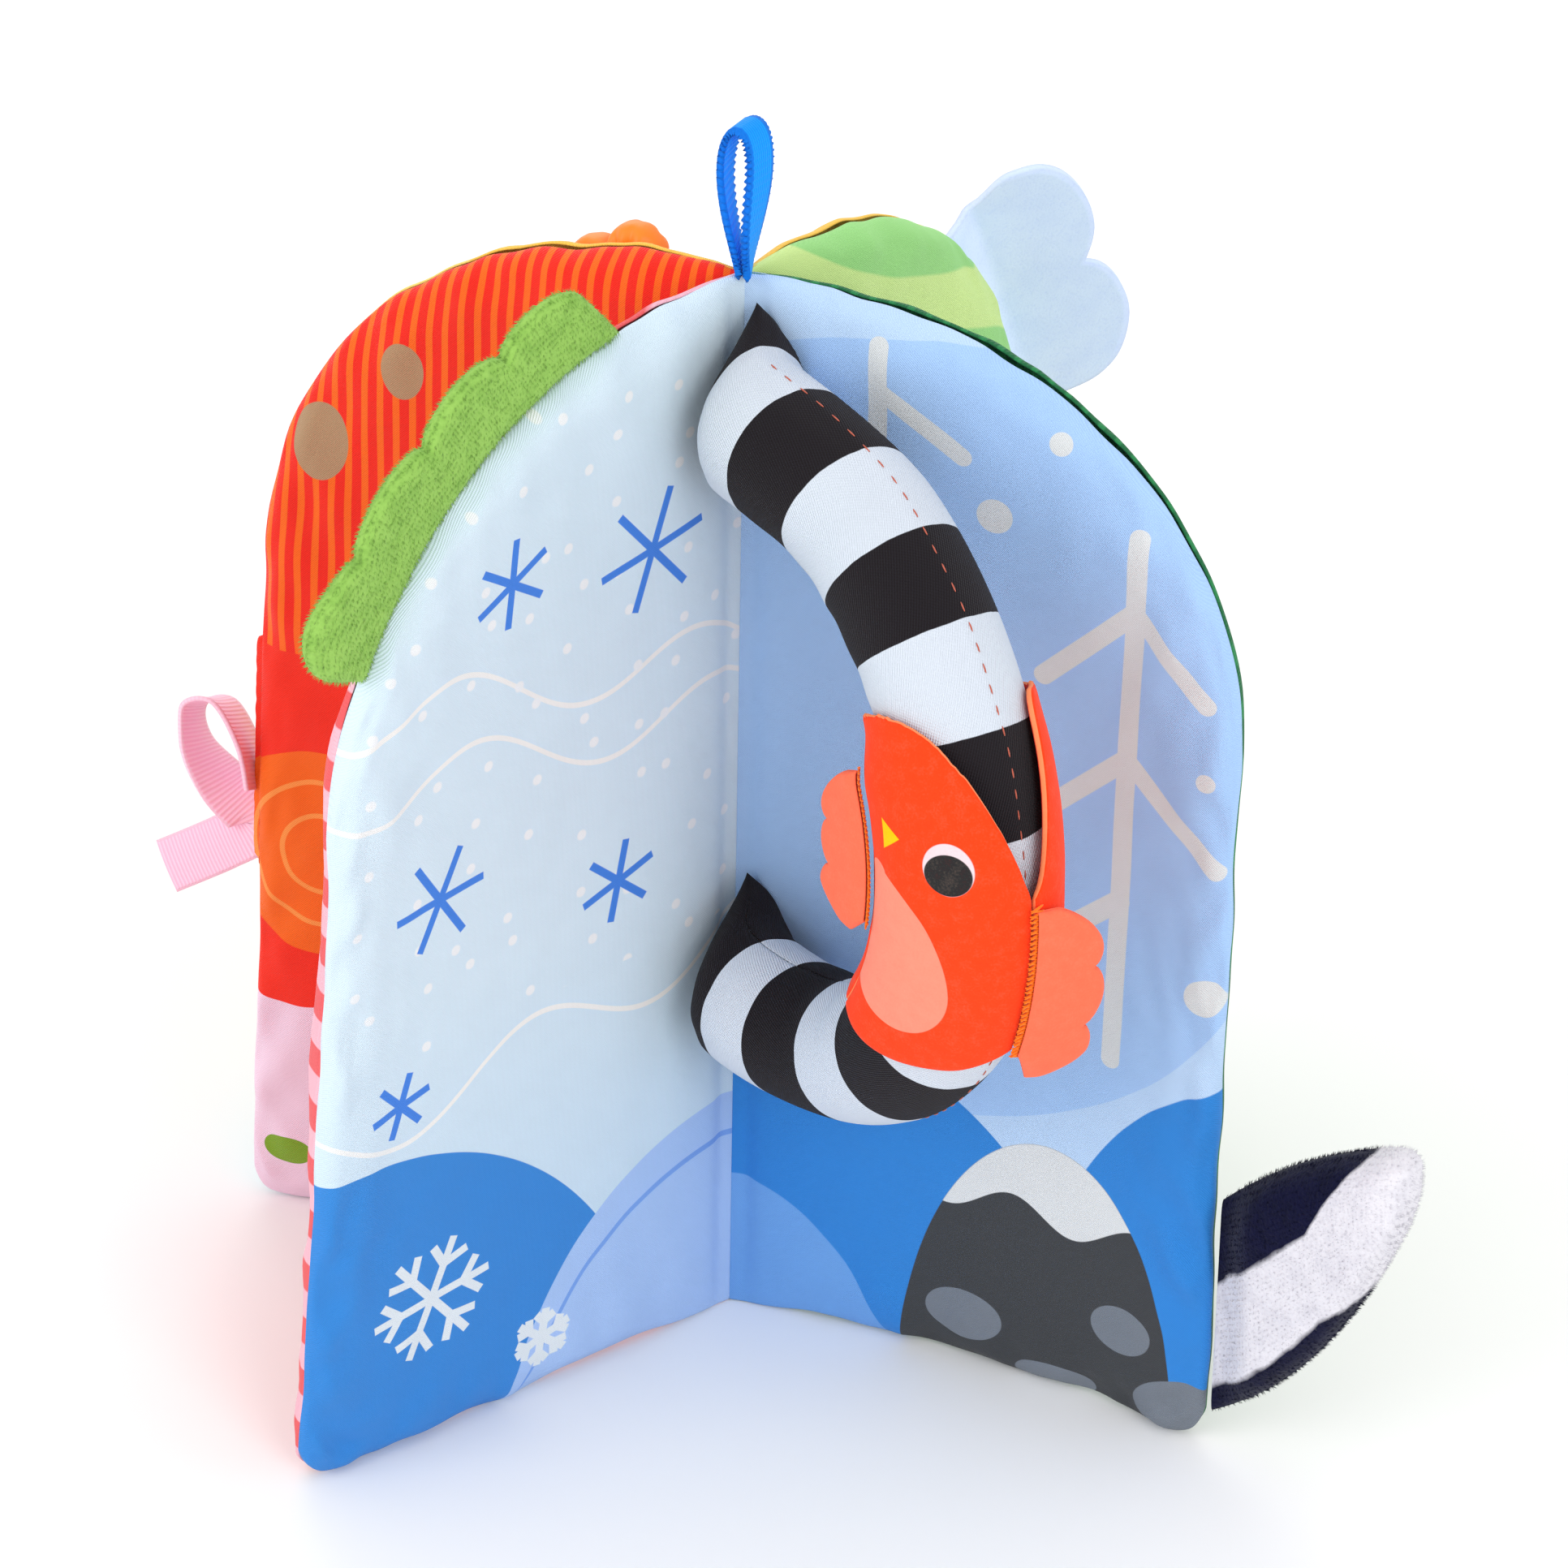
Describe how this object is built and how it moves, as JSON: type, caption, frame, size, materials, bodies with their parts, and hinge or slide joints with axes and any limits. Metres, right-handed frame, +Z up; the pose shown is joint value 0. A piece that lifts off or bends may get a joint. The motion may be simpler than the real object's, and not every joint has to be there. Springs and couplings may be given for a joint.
{
  "type": "baby soft book",
  "caption": "Standing cloth book: padded arched pages round a sewn spine, with a stuffed striped tube, a felt bird, a plush tail, a hanging loop and edge trims.",
  "frame": {"origin": "centre of the spine's foot, on the surface that the book stands on", "axes": "+Z up along the spine; the winter spread, between the two front leaves, faces -Y; +X to a viewer's right"},
  "size_m": [0.2232, 0.1693, 0.2377],
  "materials": {
    "spine_seam": "stitched cloth edges",
    "winter_print": "printed satin-faced twill",
    "autumn_print": "printed satin-faced twill",
    "spring_print": "printed satin-faced twill",
    "summer_print": "printed satin-faced twill",
    "batting": "polyester fill",
    "crinkle_film": "thin crackling film",
    "striped_twill": "printed twill",
    "orange_felt": "felt",
    "coral_felt": "felt",
    "navy_plush": "short-pile plush",
    "green_plush": "short-pile plush",
    "blue_fleece": "bonded felt",
    "pink_grosgrain": "grosgrain ribbon",
    "blue_tape": "ribbed woven tape",
    "teether_rubber": "moulded silicone",
    "knot_cord": "stitched cord"
  },
  "bodies": {
    "spine": {"spine_seam": "spine_seam"},
    "hang_loop": {"hang_loop": "blue_tape"},
    "front_left_leaf": {"winter_left_page": "winter_print", "autumn_right_page": "autumn_print", "front_left_batting": "batting", "front_left_crinkle_film": "crinkle_film", "green_hedge": "green_plush"},
    "front_right_leaf": {"winter_right_page": "winter_print", "spring_left_page": "spring_print", "front_right_batting": "batting"},
    "back_right_leaf": {"spring_right_page": "spring_print", "summer_left_page": "summer_print", "back_right_batting": "batting", "back_right_crinkle_film": "crinkle_film", "blue_two_lobed_tab": "blue_fleece"},
    "back_left_leaf": {"autumn_left_page": "autumn_print", "summer_right_page": "summer_print", "back_left_batting": "batting", "flower_teether": "teether_rubber", "teether_knot": "knot_cord"},
    "tail": {"tail_front_plush": "navy_plush", "tail_back_plush": "navy_plush", "tail_stuffing": "batting"},
    "ribbon": {"pink_ribbon": "pink_grosgrain"},
    "tube": {"striped_tube_cover": "striped_twill", "striped_tube_stuffing": "batting"},
    "bird": {"bird_front_felt": "orange_felt", "bird_back_felt": "orange_felt"},
    "left_wing": {"bird_left_wing": "coral_felt"},
    "right_wing": {"bird_right_wing": "coral_felt"}
  },
  "joints": [
    {"name": "front_left_hinge", "type": "hinge", "parent": "spine", "child": "front_left_leaf", "pos_m": [0, 0, 0.105], "axis": [0, 0, 1], "range_deg": [-15, 15]},
    {"name": "front_right_hinge", "type": "hinge", "parent": "spine", "child": "front_right_leaf", "pos_m": [0, 0, 0.105], "axis": [0, 0, 1], "range_deg": [-15, 20]},
    {"name": "back_right_hinge", "type": "hinge", "parent": "spine", "child": "back_right_leaf", "pos_m": [0, 0, 0.105], "axis": [0, 0, 1], "range_deg": [-15, 15]},
    {"name": "back_left_hinge", "type": "hinge", "parent": "spine", "child": "back_left_leaf", "pos_m": [0, 0, 0.105], "axis": [0, 0, 1], "range_deg": [-20, 15]},
    {"name": "tube_swing", "type": "hinge", "parent": "front_right_leaf", "child": "tube", "pos_m": [0, 0, 0.128], "axis": [0, 0, 1], "range_deg": [-12, 5]},
    {"name": "bird_slide", "type": "hinge", "parent": "tube", "child": "bird", "pos_m": [0.00926, -0.01426, 0.128], "axis": [0.8387, 0.5446, 0], "range_deg": [-28, 30]},
    {"name": "left_wing_flap", "type": "hinge", "parent": "bird", "child": "left_wing", "pos_m": [0.02101, -0.06082, 0.1352], "axis": [0.0852, -0.1312, -0.9877], "range_deg": [-20, 15]},
    {"name": "right_wing_flap", "type": "hinge", "parent": "bird", "child": "right_wing", "pos_m": [0.04868, -0.07496, 0.11783], "axis": [-0.0758, 0.1167, -0.9903], "range_deg": [-5, 30]},
    {"name": "tail_swing", "type": "hinge", "parent": "front_right_leaf", "child": "tail", "pos_m": [0.08499, -0.03918, 0.0285], "axis": [-0.0012, 0.0343, 0.9994], "range_deg": [-35, 35]},
    {"name": "ribbon_flop", "type": "hinge", "parent": "back_left_leaf", "child": "ribbon", "pos_m": [-0.08538, 0.03637, 0.08], "axis": [0.0336, 0.0405, 0.9986], "range_deg": [-25, 25]},
    {"name": "hang_loop_flop", "type": "hinge", "parent": "spine", "child": "hang_loop", "pos_m": [0, 0, 0.2096], "axis": [-0.5736, 0.8192, 0], "range_deg": [-25, 25]}
  ]
}
